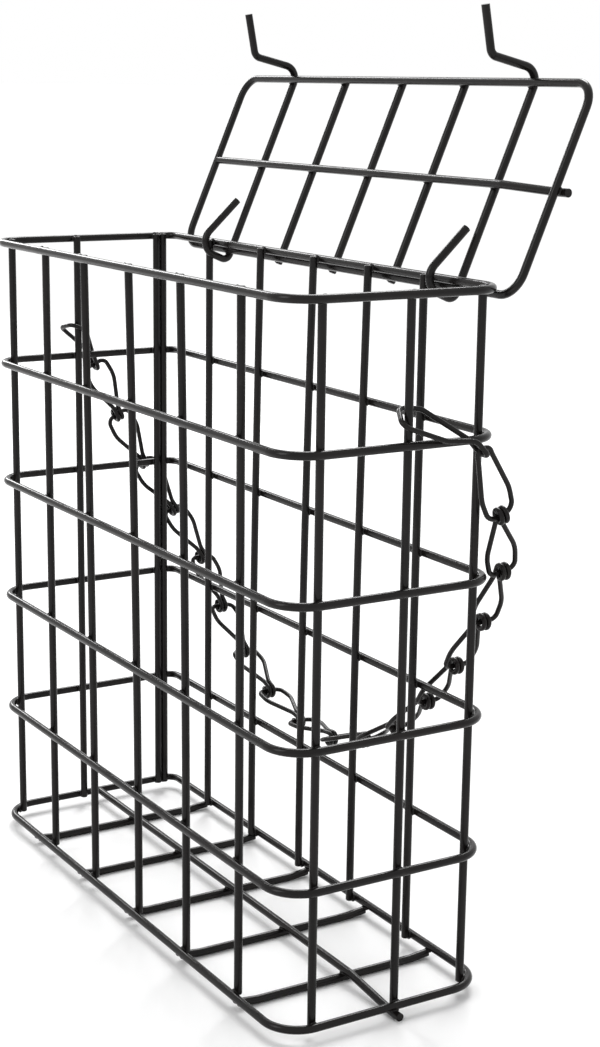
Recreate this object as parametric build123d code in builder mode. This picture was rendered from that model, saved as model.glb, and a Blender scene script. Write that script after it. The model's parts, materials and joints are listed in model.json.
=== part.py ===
from build123d import *
from math import asin, atan, cos, pi, radians, sin, tan
import os

# Hanging seed-cake feeder: a black coated wire basket, a wire lid hooked on the
# back of its top ring, and a wire chain hung from its two short sides.
# Millimetres, Z up. Origin: centre of the basket's base, on the ground.
# The lid stands open, leaning back; the chain hangs down behind the basket.

# ---- driving dimensions -------------------------------------------------
WIRE = 2.3                  # basket and lid wire with its black coating
WIRE_END = 0.45             # rounding of the cut ends
WELD_BITE = 0.03            # how far welded wires are pressed into each other
CAGE_WIDTH = 185.0          # X, between the centres of the ring wire
CAGE_DEPTH = 64.2           # Y, between the centres of the ring wire
RING_COUNT = 6
RING_PITCH = 38.25          # Z, from ring to ring
RING_CORNER = 10.0          # bend of a ring at its corners
SEAM_CORNER = 4.0           # tighter bend beside the seam, at the back left
SEAM_FROM_BACK = 5.9        # from the back of a ring to where its two ends nearly meet
SEAM_GAP = 0.6
SEAM_SPACING = 2.45         # between the two uprights that close the seam

UPRIGHT_PITCH = 30.1        # spacing of the uprights on the wide sides
FRONT_SHIFT = 4.4           # the front uprights sit off centre to +X
BACK_SHIFT = -2.4           # and the back ones to -X
UPRIGHT_TOP = 0.8           # how far an upright reaches past the top ring centre
UPRIGHT_CLEAR = 0.5         # from the floor wires up to an upright's foot
FRONT_LEAN = -4.2           # sideways bow of the middle front upright at its top
BACK_LEAN = 4.0             # and of the middle back upright
SIDE_FROM_FRONT = 10.0      # first right upright, back from the front of the rings
RIGHT_MIDDLE_Y = 4.0        # second right upright
LEFT_MIDDLE_Y = -3.8        # second left upright
CORNER_STEP = 42.0          # degrees round the bend to a corner upright

FLOOR_PITCH = 33.3          # spacing of the floor's cross wires
FLOOR_SHIFT = 0.5
FLOOR_END_INSET = 1.0       # the cross wires end this far inside the ring's centre
FLOOR_END_RISE_LENGTH = 6.0  # their last part rises to the ring
LONG_WIRE_Y = 2.8
LONG_WIRE_REACH = 2.7       # how far a long wire's end pokes past the frame
LONG_WIRE_SLOPE = 21.0      # length over which it slopes down to pass the frame

LID_LENGTH = 58.2           # from the hinge side of the frame to its free side
LID_WIDTH = 179.0
LID_SHIFT = 3.4             # the lid sits a little towards +X
LID_CORNER = 6.5
LID_LEAN = 23.4             # degrees past upright when thrown open
LID_HOOK_INSET = 27.2       # from the lid's side wires in to its hook wires
LID_WIRE_SHIFT = -0.7       # the cross wires sit off the lid's centre
LID_LONG_WIRE_AT = 29.4     # place of the long wire, from the hinge side
HINGE_OFFSET = 2.6          # lid frame plane behind the hinge axis
HINGE_REACH = 1.2           # lower lid frame wire below the hinge axis
HOOK_WRAP = 2.2             # bend radius where a hook wire wraps the lid frame
HOOK_DROP = 3.1             # how far a hook's eye passes below the lid frame wire
HOOK_EYE = 10.3             # reach of the eye into the basket
HOOK_TAIL = 15.9            # the eye's cut end, up from the frame's hinge side
HOOK_TAIL_IN = 2.0          # and in from the frame
TAB_START = 4.4             # the tab's first bend, past the free side
TAB_FOLD_AT = 1.4           # its second bend, past the free side
TAB_FOLD_IN = 14.1          # and in from the frame
TAB_TIP_AT = 12.2           # its cut end, past the free side
TAB_TIP_IN = 21.5           # and in from the frame

CHAIN_WIRE = 1.4
LINK_COUNT = 17
LINK_PITCH = 19.6
LINK_HALF_WIDTH = 4.5       # broad end, from the middle to the wire centre
NECK_HALF_WIDTH = 0.78      # the two wires side by side in the eye
EYE_RADIUS = 1.8            # eye, to the wire centre
CHAIN_LEFT_OUT = 5.2        # chain beside the left side of the rings
CHAIN_BACK_OUT = 6.8        # chain behind their back
CHAIN_RIGHT_OUT = 4.1       # chain beside their right side
CHAIN_TURN_LEFT = 18.0      # how the chain rounds the back corners
CHAIN_TURN_RIGHT = 15.8
CHAIN_START_Y = 5.4         # where the chain hangs from the left connector
CHAIN_START_DROP = 4.1      # first joint below the fifth ring
CHAIN_END_TURN = 90.0       # degrees round the right corner to the last joint
CHAIN_END_DROP = 2.6        # last joint below the fifth ring

LOOP_TIP = 1.9              # half width of a connector's narrow end
# Corner and shoulder of each connector's two strands, as steps outwards from
# its upright, back from it and up from the fifth ring.
LEFT_INNER = [(-4.2, -3.6, 11.2), (-3.0, 1.6, 8.4)]
LEFT_OUTER = [(3.4, -4.6, 9.4), (6.2, 2.0, 4.4)]
LEFT_RISE = (0, -2.2, 5.6)  # from the narrow end back up its strands
RIGHT_INNER = [(-4.2, -0.4, 8.8), (-2.6, 5.4, 8.4)]
RIGHT_OUTER = [(3.1, -4.0, 5.5), (4.8, 8.6, 0.9)]
RIGHT_RISE = (0, -4.0, 4.2)
LEFT_GRIP = 1.75            # the narrow end's place inside the end link
RIGHT_GRIP = 0.75

# ---- values worked out from them -----------------------------------------
R = WIRE / 2
TOUCH = WIRE - WELD_BITE                       # centre distance of welded wires
BASE_Z = R + TOUCH                             # bottom ring lies on the floor wires
TOP_Z = BASE_Z + (RING_COUNT - 1) * RING_PITCH
HALF_W = CAGE_WIDTH / 2
HALF_D = CAGE_DEPTH / 2
SEAM_Y = HALF_D - SEAM_FROM_BACK

LEAN = radians(LID_LEAN)
UP = Vector(0, sin(LEAN), cos(LEAN))           # along the open lid, hinge to free side
IN = Vector(0, -cos(LEAN), sin(LEAN))          # out of the lid's inner face
HINGE = Vector(0, HALF_D, TOP_Z)               # the lid turns on the top ring itself
LID_FOOT = HINGE - UP * HINGE_REACH - IN * HINGE_OFFSET

os.makedirs("parts", exist_ok=True)
pieces = {}


def finish(piece, label):
    piece.part.label = label
    pieces[label] = piece.part
    export_step(piece.part, "parts/" + label + ".step")


def bent_wire(label, points, bends, diameter=WIRE, closed=False):
    """One round wire bent through the points, with one bend radius per corner."""
    with BuildLine() as run:
        FilletPolyline(*points, radius=bends, close=closed)
    with BuildPart() as wire:
        with BuildSketch(Plane(run.line @ 0, z_dir=run.line % 0)):
            Circle(diameter / 2)
        sweep(path=run.line)
    finish(wire, label)


def straight_wire(label, start, end):
    """One straight round wire with softened ends."""
    along = Vector(end) - Vector(start)
    with BuildPart() as wire:
        with BuildSketch(Plane(Vector(start), z_dir=along)):
            Circle(R)
        extrude(amount=along.length)
        fillet(wire.edges().filter_by(GeomType.CIRCLE), WIRE_END)
    finish(wire, label)


def bowed_wire(label, foot, lean, height):
    """An upright wire that starts straight up and bows sideways by the lean."""
    elbow = foot + Vector(0, 0, height / 2)
    top = foot + Vector(lean, 0, height)
    turn = atan(abs(lean) / (height / 2))
    with BuildLine() as run:
        FilletPolyline(foot, elbow, top, radius=0.45 * height / tan(turn / 2))
    with BuildPart() as wire:
        with BuildSketch(Plane(run.line @ 0, z_dir=run.line % 0)):
            Circle(R)
        sweep(path=run.line)
        ends = wire.faces().filter_by(GeomType.PLANE)
        fillet(ends.edges(), WIRE_END)
    finish(wire, label)


# ---- basket: six rings ----------------------------------------------------
# Each ring is one wire bent round the four sides; its ends meet near the
# back left corner.
for number in range(RING_COUNT):
    z = BASE_Z + number * RING_PITCH
    ring_points = [
        (-HALF_W, SEAM_Y - SEAM_GAP / 2, z),
        (-HALF_W, -HALF_D, z),
        (HALF_W, -HALF_D, z),
        (HALF_W, HALF_D, z),
        (-HALF_W, HALF_D, z),
        (-HALF_W, SEAM_Y + SEAM_GAP / 2, z),
    ]
    bent_wire(f"ring_{number + 1}", ring_points, [RING_CORNER, RING_CORNER, RING_CORNER, SEAM_CORNER])


# ---- basket: uprights, welded to the inside of the rings -------------------
INSIDE_X = HALF_W - TOUCH
INSIDE_Y = HALF_D - TOUCH
UPRIGHT_BOTTOM_Z = WIRE + UPRIGHT_CLEAR
UPRIGHT_LENGTH = TOP_Z + UPRIGHT_TOP - UPRIGHT_BOTTOM_Z


def upright(label, x, y):
    straight_wire(label, (x, y, UPRIGHT_BOTTOM_Z), (x, y, TOP_Z + UPRIGHT_TOP))


# Those of the wide sides bow sideways towards the top, the middle ones most.
for number in range(5):
    step = (number - 2) * UPRIGHT_PITCH
    share = 1 - 0.22 * (number - 2) ** 2
    front_foot = Vector(FRONT_SHIFT + step, -INSIDE_Y, UPRIGHT_BOTTOM_Z)
    back_foot = Vector(BACK_SHIFT + step, INSIDE_Y, UPRIGHT_BOTTOM_Z)
    bowed_wire(f"upright_front_{number + 1}", front_foot, FRONT_LEAN * share, UPRIGHT_LENGTH)
    bowed_wire(f"upright_back_{number + 1}", back_foot, BACK_LEAN * share, UPRIGHT_LENGTH)

# The corner uprights stand in the bend of the rings, part way round it.
BEND_STEP = radians(CORNER_STEP)
bend_reach = RING_CORNER - TOUCH
bend_x = HALF_W - RING_CORNER + bend_reach * cos(BEND_STEP)
bend_y = HALF_D - RING_CORNER + bend_reach * sin(BEND_STEP)
upright("upright_right_1", INSIDE_X, SIDE_FROM_FRONT - HALF_D)
upright("upright_right_2", INSIDE_X, RIGHT_MIDDLE_Y)
upright("upright_right_3", bend_x, bend_y)
upright("upright_left_1", -bend_x, -bend_y)
upright("upright_left_2", -INSIDE_X, LEFT_MIDDLE_Y)
upright("seam_upright_1", -INSIDE_X, SEAM_Y - SEAM_SPACING / 2)
upright("seam_upright_2", -INSIDE_X, SEAM_Y + SEAM_SPACING / 2)

# ---- basket: floor ----------------------------------------------------------
# The ends of the cross wires rise a little, to tuck under the ring's inner edge.
FLOOR_END_Y = HALF_D - FLOOR_END_INSET
FLOOR_END_Z = BASE_Z - TOUCH + R - (R * R - FLOOR_END_INSET * FLOOR_END_INSET) ** 0.5
for number in range(5):
    x = FLOOR_SHIFT + (number - 2) * FLOOR_PITCH
    cross_points = [
        (x, -FLOOR_END_Y, FLOOR_END_Z),
        (x, -FLOOR_END_Y + FLOOR_END_RISE_LENGTH, R),
        (x, FLOOR_END_Y - FLOOR_END_RISE_LENGTH, R),
        (x, FLOOR_END_Y, FLOOR_END_Z),
    ]
    bent_wire(f"floor_wire_{number + 1}", cross_points, [8, 8])

floor_long_points = [
    (-HALF_W + R - WELD_BITE, LONG_WIRE_Y, BASE_Z),
    (HALF_W - 1.5 - LONG_WIRE_SLOPE, LONG_WIRE_Y, BASE_Z),
    (HALF_W - 1.5, LONG_WIRE_Y, R),
    (HALF_W + LONG_WIRE_REACH, LONG_WIRE_Y, R),
]
bent_wire("floor_long_wire", floor_long_points, [8, 8])


# ---- lid ---------------------------------------------------------------------
def on_lid(x, along, inward):
    """A point of the open lid: along from the hinge side, inward from the frame."""
    return Vector(x, 0, 0) + LID_FOOT + UP * along + IN * inward


LID_LEFT = LID_SHIFT - LID_WIDTH / 2
LID_RIGHT = LID_SHIFT + LID_WIDTH / 2

lid_frame_points = [
    on_lid(LID_RIGHT, 0, 0),
    on_lid(LID_RIGHT, LID_LENGTH, 0),
    on_lid(LID_LEFT, LID_LENGTH, 0),
    on_lid(LID_LEFT, 0, 0),
]
bent_wire("lid_frame", lid_frame_points, [LID_CORNER] * 4, closed=True)

# The two outer cross wires are bent at both ends: a long eye round the top
# ring at the hinge side, and a finger tab at the free side.
LID_WIRE_PITCH = (LID_WIDTH - 2 * LID_HOOK_INSET) / 4
lid_wire_x = [LID_SHIFT + LID_WIRE_SHIFT + (number - 2) * LID_WIRE_PITCH for number in range(5)]
for label, x in (("lid_hook_left", lid_wire_x[0]), ("lid_hook_right", lid_wire_x[4])):
    hook_points = [
        on_lid(x, HOOK_TAIL, HOOK_TAIL_IN),
        on_lid(x, -HOOK_DROP, HOOK_EYE),
        on_lid(x, -HOOK_DROP, -TOUCH),
        on_lid(x, LID_LENGTH + TAB_START, -TOUCH),
        on_lid(x, LID_LENGTH + TAB_FOLD_AT, TAB_FOLD_IN),
        on_lid(x, LID_LENGTH + TAB_TIP_AT, TAB_TIP_IN),
    ]
    bent_wire(label, hook_points, [4.5, HOOK_WRAP, 4.0, 2.5])

for number in range(1, 4):
    x = lid_wire_x[number]
    straight_wire(
        f"lid_wire_{number}",
        on_lid(x, -R - 0.2, -TOUCH),
        on_lid(x, LID_LENGTH + R, -TOUCH),
    )

lid_long_points = [
    on_lid(LID_LEFT + R - WELD_BITE, LID_LONG_WIRE_AT, 0),
    on_lid(LID_RIGHT - 1.5 - LONG_WIRE_SLOPE, LID_LONG_WIRE_AT, 0),
    on_lid(LID_RIGHT - 1.5, LID_LONG_WIRE_AT, -TOUCH),
    on_lid(LID_RIGHT + LONG_WIRE_REACH, LID_LONG_WIRE_AT, -TOUCH),
]
bent_wire("lid_long_wire", lid_long_points, [8, 8])


# ---- chain -------------------------------------------------------------------
RING_5_Z = BASE_Z + 4 * RING_PITCH
CHAIN_LEFT_X = -HALF_W - CHAIN_LEFT_OUT
CHAIN_BACK_Y = HALF_D + CHAIN_BACK_OUT
CHAIN_RIGHT_X = HALF_W + CHAIN_RIGHT_OUT
WAY_LEFT = CHAIN_BACK_Y - CHAIN_TURN_LEFT - CHAIN_START_Y
WAY_LEFT_TURN = CHAIN_TURN_LEFT * pi / 2
WAY_BACK = CHAIN_RIGHT_X - CHAIN_TURN_RIGHT - CHAIN_LEFT_X - CHAIN_TURN_LEFT
WAY_RIGHT_TURN = CHAIN_TURN_RIGHT * radians(CHAIN_END_TURN)
WAY = WAY_LEFT + WAY_LEFT_TURN + WAY_BACK + WAY_RIGHT_TURN
START_Z = RING_5_Z - CHAIN_START_DROP
END_Z = RING_5_Z - CHAIN_END_DROP


def chain_place(reach):
    """Plan position after going the given way round: left side, back, right corner."""
    if reach < WAY_LEFT:
        return CHAIN_LEFT_X, CHAIN_START_Y + reach
    reach -= WAY_LEFT
    if reach < WAY_LEFT_TURN:
        turn = reach / CHAIN_TURN_LEFT
        x = CHAIN_LEFT_X + CHAIN_TURN_LEFT * (1 - cos(turn))
        return x, CHAIN_BACK_Y - CHAIN_TURN_LEFT * (1 - sin(turn))
    reach -= WAY_LEFT_TURN
    if reach < WAY_BACK:
        return CHAIN_LEFT_X + CHAIN_TURN_LEFT + reach, CHAIN_BACK_Y
    turn = (reach - WAY_BACK) / CHAIN_TURN_RIGHT
    x = CHAIN_RIGHT_X - CHAIN_TURN_RIGHT * (1 - sin(turn))
    return x, CHAIN_BACK_Y - CHAIN_TURN_RIGHT * (1 - cos(turn))


def hang(sag, low):
    """How far the links reach level, and how far they climb, in one hanging curve."""
    slopes = [atan((number + 0.5 - low) * LINK_PITCH / sag) for number in range(LINK_COUNT)]
    level = sum(LINK_PITCH * cos(slope) for slope in slopes)
    climb = sum(LINK_PITCH * sin(slope) for slope in slopes)
    return level, climb


# The chain hangs freely between its two ends. The sag and the lowest link are
# halved in on until the chain reaches just as far as its way round.
sag_least, sag_most = 1.0, 2000.0
for sag_try in range(50):
    sag = (sag_least + sag_most) / 2
    low_least, low_most = 0.0, float(LINK_COUNT)
    for low_try in range(50):
        low = (low_least + low_most) / 2
        if hang(sag, low)[1] > END_Z - START_Z:
            low_least = low
        else:
            low_most = low
    if hang(sag, low)[0] < WAY:
        sag_least = sag
    else:
        sag_most = sag

joints = []
reach = 0.0
height = START_Z
for number in range(LINK_COUNT + 1):
    place = chain_place(reach)
    joints.append(Vector(place[0], place[1], height))
    slope = atan((number + 0.5 - low) * LINK_PITCH / sag)
    reach += LINK_PITCH * cos(slope)
    height += LINK_PITCH * sin(slope)


def link_axes(number):
    """Directions of a link: its length, its width and the side its eye curls to."""
    length = (joints[number + 1] - joints[number]).normalized()
    width = (Vector(0, 1, 0) - length * length.Y).normalized()
    return length, width, width.cross(length)


EYE_TILT = asin(EYE_RADIUS / LINK_PITCH)
EYE_X = LINK_PITCH * cos(EYE_TILT)
SHOULDER_HALF_WIDTH = 0.88 * LINK_HALF_WIDTH   # the broad end is a little drawn in

for number in range(LINK_COUNT - 1):
    length, width, side = link_axes(number)
    # The flat of the link is tilted, so that the middle of its eye falls on
    # the next joint.
    flat = length * cos(EYE_TILT) - side * sin(EYE_TILT)
    lift = side * cos(EYE_TILT) + length * sin(EYE_TILT)
    origin = joints[number]
    half = [
        (EYE_X - EYE_RADIUS, NECK_HALF_WIDTH, EYE_RADIUS),
        (EYE_X - EYE_RADIUS, NECK_HALF_WIDTH, 2 * EYE_RADIUS),
        (EYE_X + EYE_RADIUS, NECK_HALF_WIDTH, 2 * EYE_RADIUS),
        (EYE_X + EYE_RADIUS, NECK_HALF_WIDTH, 0),
        (EYE_X - 2.8, NECK_HALF_WIDTH, 0),
        (0.33 * LINK_PITCH, LINK_HALF_WIDTH, 0),
        (0, SHOULDER_HALF_WIDTH, 0),
    ]
    other_half = [(x, -w, n) for x, w, n in reversed(half)]
    link_points = [origin + flat * x + width * w + lift * n for x, w, n in half + other_half]
    eye_bend = EYE_RADIUS * 0.98
    half_bends = [eye_bend * 0.98, eye_bend, eye_bend, 6.0, 10.0, 2.3]
    bent_wire(f"chain_link_{number + 1:02d}", link_points, half_bends + half_bends[::-1], CHAIN_WIRE)

# The last link has no curled eye: its narrow end is a plain arch.
length, width, side = link_axes(LINK_COUNT - 1)
origin = joints[LINK_COUNT - 1]
arch_half = [
    (0, SHOULDER_HALF_WIDTH),
    (0.33 * LINK_PITCH, LINK_HALF_WIDTH),
    (LINK_PITCH - 1.5, 2.2),
    (LINK_PITCH + 1, 2.0),
]
arch_points = arch_half + [(x, -w) for x, w in reversed(arch_half)]
last_points = [origin + length * x + width * w for x, w in arch_points]
last_bends = [3.0, 12.0, 8.0, 1.9]
bent_wire(
    f"chain_link_{LINK_COUNT:02d}",
    last_points,
    last_bends + last_bends[::-1],
    CHAIN_WIRE,
    closed=True,
)


# Each connector is a long loop round a side upright, over the fifth ring and
# down, with its narrow end through the end link.
def connector(label, side, upright_y, inner, outer, tip, rise):
    """A loop on side -1 or +1, from a corner and a shoulder of each strand."""
    inner_corner, inner_shoulder, outer_corner, outer_shoulder = [
        Vector(side * (INSIDE_X + out), upright_y + back, RING_5_Z + up)
        for out, back, up in inner + outer
    ]
    middle = (inner_corner + outer_corner) / 2
    step = (inner_corner - outer_corner).normalized() * 0.05
    half_tip = Vector(side * LOOP_TIP, 0, 0)
    loop_points = [
        middle + step,
        inner_corner,
        inner_shoulder,
        tip + rise - half_tip,
        tip - half_tip,
        tip + half_tip,
        tip + rise + half_tip,
        outer_shoulder,
        outer_corner,
        middle - step,
    ]
    loop_bends = [2.4, 4.0, 3.0, 1.5, 1.5, 3.0, 4.0, 2.4]
    bent_wire(label, loop_points, loop_bends, CHAIN_WIRE)


connector(
    "connector_left",
    -1,
    LEFT_MIDDLE_Y,
    LEFT_INNER,
    LEFT_OUTER,
    joints[0] + link_axes(0)[0] * LEFT_GRIP,
    Vector(*LEFT_RISE),
)
connector(
    "connector_right",
    1,
    RIGHT_MIDDLE_Y,
    RIGHT_INNER,
    RIGHT_OUTER,
    joints[LINK_COUNT] - link_axes(LINK_COUNT - 1)[0] * RIGHT_GRIP,
    Vector(*RIGHT_RISE),
)
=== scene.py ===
import json
import math
import random

import bmesh
import bpy
from mathutils import Matrix, Vector


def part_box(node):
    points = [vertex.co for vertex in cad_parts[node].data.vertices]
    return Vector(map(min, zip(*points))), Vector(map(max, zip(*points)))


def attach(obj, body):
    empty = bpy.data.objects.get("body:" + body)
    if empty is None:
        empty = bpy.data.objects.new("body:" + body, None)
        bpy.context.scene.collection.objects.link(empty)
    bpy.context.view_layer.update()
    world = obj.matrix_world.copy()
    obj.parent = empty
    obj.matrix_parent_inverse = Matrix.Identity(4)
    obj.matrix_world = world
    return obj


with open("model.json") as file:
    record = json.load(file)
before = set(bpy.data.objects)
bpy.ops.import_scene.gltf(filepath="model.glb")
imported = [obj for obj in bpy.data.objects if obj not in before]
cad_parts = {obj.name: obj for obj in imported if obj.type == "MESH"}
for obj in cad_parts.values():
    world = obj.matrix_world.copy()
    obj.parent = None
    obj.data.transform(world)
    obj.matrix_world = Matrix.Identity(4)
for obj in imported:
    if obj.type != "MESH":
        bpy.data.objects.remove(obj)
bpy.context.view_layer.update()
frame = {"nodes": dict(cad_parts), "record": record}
random.seed(7)

# Everything is in metres, in the part's own frame: the basket's base stands
# on the ground at the origin, its front faces -Y, the lid is hinged at +Y.

# ---- dimensions the looks are placed by -------------------------------------
WIRE = 0.0023
TOUCH = 0.00227             # centre distance of two welded wires
LID_LEAN = math.radians(23.4)
LID_LENGTH = 0.0582
LID_LONG_WIRE_AT = 0.0294   # place of its long wire, from the hinge side
LID_FRAME_BEHIND = 0.0026   # lid frame plane behind the hinge axis
LID_FRAME_BELOW = 0.0012    # lower frame wire below the hinge axis
LID_UP = Vector((0, math.sin(LID_LEAN), math.cos(LID_LEAN)))
LID_IN = Vector((0, -math.cos(LID_LEAN), math.sin(LID_LEAN)))

# An upright of a wide side is straight for this share of its height at both
# ends, and bows sideways in one arc between.
BOW_STRAIGHT = 0.05
CORNER_STEP = math.radians(42)    # how far round the rings' bend a corner upright stands
WELDED_TO_SIDE = 0.0026     # an upright nearer to a side wire than this is welded to it
BEND_SIDE = 0.0045          # and a corner upright is within these of the side wire
BEND_FACE = 0.0055          # and of the face wire
FLOOR_WELD_INSET = 0.22     # floor welds sit inside the ring wire, in wire widths

# A weld, in wire widths: least and most thickness, width and length of its radius.
WELD_THICK = (0.28, 0.33)
WELD_WIDE = (0.50, 0.57)
WELD_LONG = (0.50, 0.58)

# ---- finishes and lights ------------------------------------------------------
# Noise sizes are in waves per metre.
DIP_WAVES = 60              # slow change where the coating ran
ORANGE_PEEL = 900
DUST = 3800
RUBBED_PATCHES = 210
DUST_COLOUR = (0.045, 0.043, 0.041, 1)
RUBBED_COLOUR = (0.03, 0.028, 0.027, 1)
COAT_IOR = 1.28             # a dull coating, not a clear lacquer
WHITE = (1, 1, 1, 1)
FLOOR_HALF_SIZE = 60
ROOM_LIGHT = 0.62


# ---- shader wiring -----------------------------------------------------------
class Value:
    """A socket that can be used in Python arithmetic."""

    def __init__(self, shader, socket):
        self.shader = shader
        self.socket = socket

    def _math(self, operation, first, second):
        return self.shader.node("ShaderNodeMath", {"operation": operation}, {0: first, 1: second})

    def __add__(self, other):
        return self._math("ADD", self, other)

    __radd__ = __add__

    def __mul__(self, other):
        return self._math("MULTIPLY", self, other)

    __rmul__ = __mul__

    def __sub__(self, other):
        return self._math("SUBTRACT", self, other)

    def __rsub__(self, other):
        return self._math("SUBTRACT", other, self)

    def above(self, edge, width):
        """Rises from 0 to 1 as this value goes from edge to edge + width."""
        ramp = {"clamp": True, "interpolation_type": "SMOOTHSTEP"}
        ends = {"From Min": edge, "From Max": edge + width, "To Min": 0.0, "To Max": 1.0}
        return self.shader.node("ShaderNodeMapRange", ramp, {"Value": self, **ends})


class Shader:
    """The nodes of one material or world, built from Python expressions."""

    def __init__(self, owner, output_kind):
        self.owner = owner
        owner.use_nodes = True
        self.tree = owner.node_tree
        self.tree.nodes.clear()
        self.output = self.tree.nodes.new(output_kind)

    def node(self, kind, settings=None, inputs=None, output=0):
        made = self.tree.nodes.new(kind)
        for key, value in (settings or {}).items():
            setattr(made, key, value)
        for key, value in (inputs or {}).items():
            self.feed(made.inputs[key], value)
        return Value(self, made.outputs[output])

    def feed(self, socket, value):
        if isinstance(value, Value):
            self.tree.links.new(value.socket, socket)
        else:
            socket.default_value = value

    def place(self):
        return self.node("ShaderNodeTexCoord", output="Object")

    def noise(self, scale, detail=3.0, roughness=0.5):
        sizes = {"Vector": self.place(), "Scale": scale, "Detail": detail, "Roughness": roughness}
        return self.node("ShaderNodeTexNoise", {}, sizes, "Fac")

    def blend(self, factor, first, second):
        mixed = {"Factor": factor, 6: first, 7: second}
        return self.node("ShaderNodeMix", {"data_type": "RGBA"}, mixed, 2)

    def bump(self, height, distance, strength, normal=None):
        sizes = {"Height": height, "Distance": distance, "Strength": strength}
        if normal is not None:
            sizes["Normal"] = normal
        return self.node("ShaderNodeBump", {}, sizes)

    def finish(self, kind, inputs):
        skin = self.node(kind, {}, inputs)
        self.tree.links.new(skin.socket, self.output.inputs["Surface"])
        return self.owner


def new_material(name):
    return Shader(bpy.data.materials.new(name), "ShaderNodeOutputMaterial")


def black_coat(name, tone, warm, roughness, peel, wear):
    """Black dipped coating: nearly even, with orange peel, dust and rubbed patches."""
    coat = new_material(name)
    broad = coat.noise(DIP_WAVES, 3)
    fine = coat.noise(ORANGE_PEEL, 4, 0.6)
    dust = coat.noise(DUST, 2, 0.7)
    rubbed = coat.noise(RUBBED_PATCHES, 5, 0.65).above(0.62, 0.1) * wear
    colour = coat.blend(broad.above(0.35, 0.35), tone, warm)
    colour = coat.blend(dust.above(0.66, 0.06) * 0.35, colour, DUST_COLOUR)
    colour = coat.blend(rubbed, colour, RUBBED_COLOUR)
    waves = coat.bump(broad, 0.00030, 0.35)
    skin = coat.bump(fine, 0.00006, peel, waves)
    return coat.finish(
        "ShaderNodeBsdfPrincipled",
        {
            "Base Color": colour,
            "Roughness": fine * 0.12 + rubbed * 0.14 + roughness,
            "Normal": skin,
            "IOR": COAT_IOR,
        },
    )


wire_coat = black_coat(
    "black_dipped_wire",
    tone=(0.0062, 0.0054, 0.0053, 1),
    warm=(0.0105, 0.0088, 0.0084, 1),
    roughness=0.15,
    peel=0.35,
    wear=0.35,
)
weld_coat = black_coat(
    "black_pooled_weld",
    tone=(0.0055, 0.0049, 0.0048, 1),
    warm=(0.009, 0.0077, 0.0074, 1),
    roughness=0.18,
    peel=0.6,
    wear=0.2,
)
chain_coat = black_coat(
    "black_chain_coat",
    tone=(0.0062, 0.0054, 0.0052, 1),
    warm=(0.011, 0.0092, 0.0086, 1),
    roughness=0.2,
    peel=0.5,
    wear=0.6,
)

for name, node in frame["nodes"].items():
    coat = chain_coat if name.startswith(("chain", "connector")) else wire_coat
    node.data.materials.clear()
    node.data.materials.append(coat)


# ---- welds: coating pooled where two wires cross --------------------------------
def centre(name):
    low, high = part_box(name)
    return (Vector(low) + Vector(high)) / 2


def add_weld(mesh, point, across, one_way, other_way):
    """A small flattened blob at a crossing; across points from wire to wire."""
    across = across.normalized()
    one_way = one_way.normalized()
    other_way = other_way.normalized()
    blob = bmesh.ops.create_icosphere(mesh, subdivisions=3, radius=1)["verts"]
    thick = WIRE * random.uniform(*WELD_THICK)
    wide = WIRE * random.uniform(*WELD_WIDE)
    length = WIRE * random.uniform(*WELD_LONG)
    turn = Matrix((across * thick, one_way * wide, other_way * length)).transposed().to_4x4()
    turn.translation = point
    bmesh.ops.transform(mesh, matrix=turn, verts=blob)


def finish_welds(mesh, name, body):
    bmesh.ops.recalc_face_normals(mesh, faces=mesh.faces)
    for face in mesh.faces:
        face.smooth = True
    data = bpy.data.meshes.new(name)
    mesh.to_mesh(data)
    mesh.free()
    piece = bpy.data.objects.new(name, data)
    bpy.context.scene.collection.objects.link(piece)
    piece.data.materials.append(weld_coat)
    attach(piece, body)


X_WAY = Vector((1, 0, 0))
Y_WAY = Vector((0, 1, 0))
Z_WAY = Vector((0, 0, 1))

uprights = [name for name in frame["nodes"] if "upright" in name]
rings = sorted(name for name in frame["nodes"] if name.startswith("ring_"))
ring_low, ring_high = (Vector(corner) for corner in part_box(rings[0]))
half_width = ring_high.x - WIRE / 2
half_depth = ring_high.y - WIRE / 2


def outward(spot):
    """The way from an upright to the ring wire that it is welded to."""
    to_side = half_width - abs(spot.x)
    to_face = half_depth - abs(spot.y)
    side = Vector((math.copysign(1, spot.x), 0, 0))
    face = Vector((0, math.copysign(1, spot.y), 0))
    if WELDED_TO_SIDE < to_side < BEND_SIDE and to_face < BEND_FACE:
        return side * math.cos(CORNER_STEP) + face * math.sin(CORNER_STEP)
    return side if to_side < to_face else face


def bow(name, height):
    """Sideways step of an upright at a height, from the middle of its box."""
    low, high = (Vector(corner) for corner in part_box(name))
    lean = high.x - low.x - WIRE
    climbed = (height - low.z) / (high.z - low.z)
    side = math.copysign(1, low.y)
    bowed = (climbed - BOW_STRAIGHT) ** 2 / (1 - 2 * BOW_STRAIGHT)
    return side * lean * (bowed - 0.5)


basket_welds = bmesh.new()
for name in uprights:
    spot = centre(name)
    way = outward(spot)
    for ring in rings:
        height = centre(ring).z
        point = Vector((spot.x + bow(name, height), spot.y, height)) + way * TOUCH / 2
        add_weld(basket_welds, point, way, way.cross(Z_WAY), Z_WAY)

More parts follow.
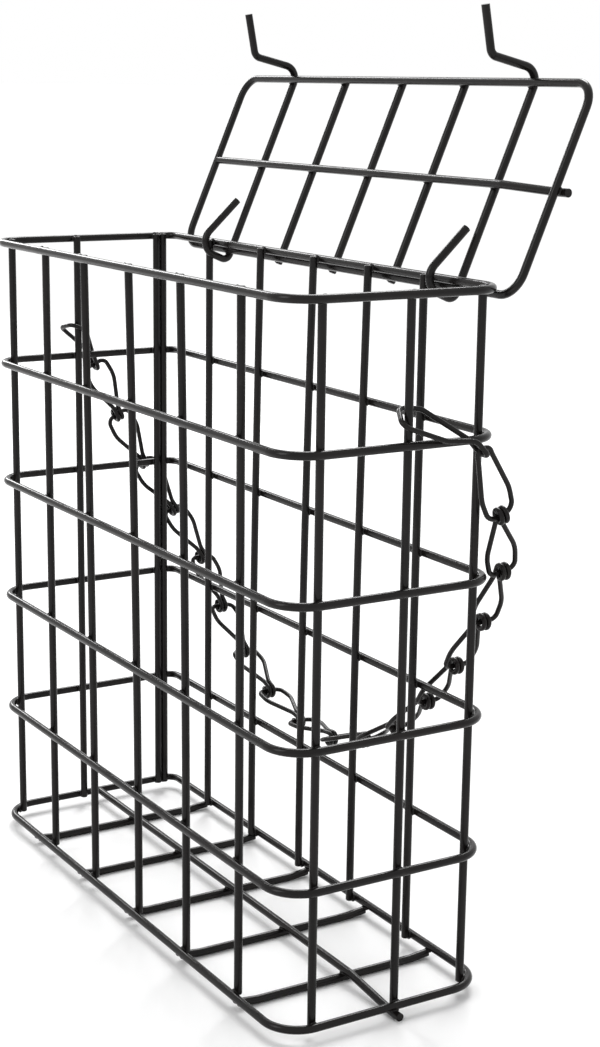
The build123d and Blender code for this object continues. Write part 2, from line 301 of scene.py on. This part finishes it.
floor_wires = [name for name in frame["nodes"] if name.startswith("floor_wire_")]
base_z = centre(rings[0]).z
long_wire_y = centre("floor_long_wire").y
wire_end_y = half_depth - WIRE * FLOOR_WELD_INSET
for name in floor_wires:
    x = centre(name).x
    for y in (-wire_end_y, wire_end_y, long_wire_y):
        add_weld(basket_welds, Vector((x, y, base_z - TOUCH / 2)), Z_WAY, X_WAY, Y_WAY)
add_weld(basket_welds, Vector((half_width, long_wire_y, base_z - TOUCH / 2)), Z_WAY, X_WAY, Y_WAY)
add_weld(basket_welds, Vector((WIRE / 2 - half_width, long_wire_y, base_z)), X_WAY, Y_WAY, Z_WAY)
finish_welds(basket_welds, "basket_welds", "basket")

hinge = Vector(frame["record"]["behaviour"]["joints"][0]["pos_m"])
lid_foot = hinge - LID_UP * LID_FRAME_BELOW - LID_IN * LID_FRAME_BEHIND
lid_foot.x = 0


def on_lid(x, along, inward):
    return Vector((x, 0, 0)) + lid_foot + LID_UP * along + LID_IN * inward


lid_welds = bmesh.new()
lid_cross = ["lid_hook_left", "lid_wire_1", "lid_wire_2", "lid_wire_3", "lid_hook_right"]
for name in lid_cross:
    x = centre(name).x
    for along in (0, LID_LONG_WIRE_AT, LID_LENGTH):
        add_weld(lid_welds, on_lid(x, along, -TOUCH / 2), LID_IN, X_WAY, LID_UP)
lid_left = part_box("lid_frame")[0][0] + WIRE
lid_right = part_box("lid_frame")[1][0] - WIRE / 2
add_weld(lid_welds, on_lid(lid_right, LID_LONG_WIRE_AT, -TOUCH / 2), LID_IN, X_WAY, LID_UP)
add_weld(lid_welds, on_lid(lid_left, LID_LONG_WIRE_AT, 0), X_WAY, LID_IN, LID_UP)
finish_welds(lid_welds, "lid_welds", "lid")

# ---- floor, light and camera ------------------------------------------------------
floor_mesh = bmesh.new()
bmesh.ops.create_grid(floor_mesh, x_segments=1, y_segments=1, size=FLOOR_HALF_SIZE)
floor_data = bpy.data.meshes.new("floor")
floor_mesh.to_mesh(floor_data)
floor_mesh.free()
floor = bpy.data.objects.new("floor", floor_data)
bpy.context.scene.collection.objects.link(floor)

paper = new_material("white_paper_floor")
paper_colour = paper.blend(paper.noise(4, 2), (0.93, 0.93, 0.93, 1), (0.95, 0.95, 0.95, 1))
floor.data.materials.append(
    paper.finish(
        "ShaderNodeBsdfPrincipled",
        {"Base Color": paper_colour, "Roughness": 0.9, "Specular IOR Level": 0.1},
    )
)

# The room lights the object softly, and is plain white where it is seen or shines back.
sky = Shader(bpy.data.worlds.new("studio"), "ShaderNodeOutputWorld")
bpy.context.scene.world = sky.owner
seen_rays = sky.node("ShaderNodeLightPath", output="Is Camera Ray")
glossy_rays = sky.node("ShaderNodeLightPath", output="Is Glossy Ray")
passed_rays = sky.node("ShaderNodeLightPath", output="Is Transmission Ray")
room_light = sky.node("ShaderNodeBackground", {}, {"Color": WHITE, "Strength": ROOM_LIGHT})
white = sky.node("ShaderNodeBackground", {}, {"Color": WHITE, "Strength": 1.0})
shown = seen_rays + glossy_rays + passed_rays
sky.finish("ShaderNodeMixShader", {"Fac": shown, 1: room_light, 2: white})


def lamp(name, kind, place, target, strength, size):
    light = bpy.data.lights.new(name, kind)
    light.energy = strength
    if kind == "SUN":
        light.angle = size
    else:
        light.shape = "RECTANGLE"
        light.size = size[0]
        light.size_y = size[1]
    holder = bpy.data.objects.new(name, light)
    holder.location = place
    holder.rotation_euler = (Vector(target) - Vector(place)).to_track_quat("-Z", "Y").to_euler()
    bpy.context.scene.collection.objects.link(holder)


# The first whitens the floor, the second draws a thin shine along the tops of
# the long wires, the third lights the uprights from the front.
lamp("back_window", "SUN", (-1.1, 0.9, 1.5), (0, 0, 0), 2.0, math.radians(26))
lamp("side_window", "AREA", (-1.15, 0.12, 0.75), (0, 0, 0.1), 6.5, (0.24, 0.7))
lamp("left_softbox", "AREA", (0.0, -1.2, 0.85), (0, 0, 0.12), 5, (0.5, 0.9))

CAMERA_PLACE = Vector((0.48352, -0.26713, 0.24575))
CAMERA_TARGET = Vector((0.04485, 0.0, 0.12716))
CAMERA_ROLL = math.radians(0.76)
LENS = 66.03
camera_data = bpy.data.cameras.new("camera")
camera_data.lens = LENS
camera_data.sensor_width = 36
camera_data.clip_start = 0.01
camera_data.clip_end = 200
camera = bpy.data.objects.new("camera", camera_data)
camera.location = CAMERA_PLACE
aim = (CAMERA_TARGET - CAMERA_PLACE).to_track_quat("-Z", "Y")
camera.rotation_euler = (aim.to_matrix() @ Matrix.Rotation(CAMERA_ROLL, 3, "Z")).to_euler()
bpy.context.scene.collection.objects.link(camera)
bpy.context.scene.camera = camera

bpy.context.scene.view_settings.view_transform = "Standard"
